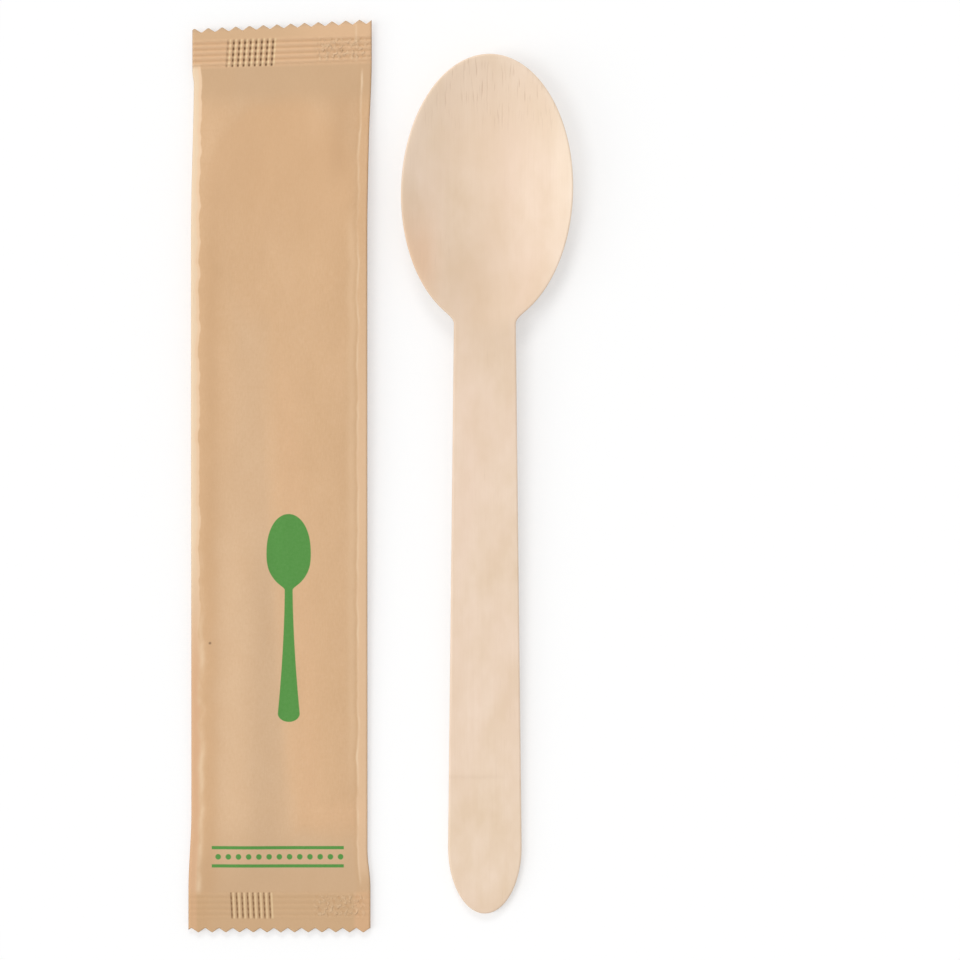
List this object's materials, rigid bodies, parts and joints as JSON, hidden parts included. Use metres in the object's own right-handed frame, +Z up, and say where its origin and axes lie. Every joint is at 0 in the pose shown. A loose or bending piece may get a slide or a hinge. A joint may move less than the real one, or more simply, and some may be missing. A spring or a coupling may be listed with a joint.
{
  "type": "wooden cutlery pack",
  "caption": "Disposable pressed-wood dessert spoon lying beside a flat kraft paper sachet with crimped, zigzag-cut ends that holds a second spoon.",
  "frame": {"origin": "middle of the pack's bounding box, on the table it lies on", "axes": "+Y along the spoon and the sachet from handle end to bowl end, +Z up off the table, +X from the sachet to the spoon"},
  "size_m": [0.0716, 0.17, 0.0064],
  "materials": {
    "kraft_paper": "matt brown kraft paper with a green printed spoon figure",
    "birch_veneer": "bare, unvarnished birch with fine lengthwise grain"
  },
  "bodies": {
    "root": {"paper_sachet": "kraft_paper", "wooden_spoon": "birch_veneer"}
  },
  "joints": []
}
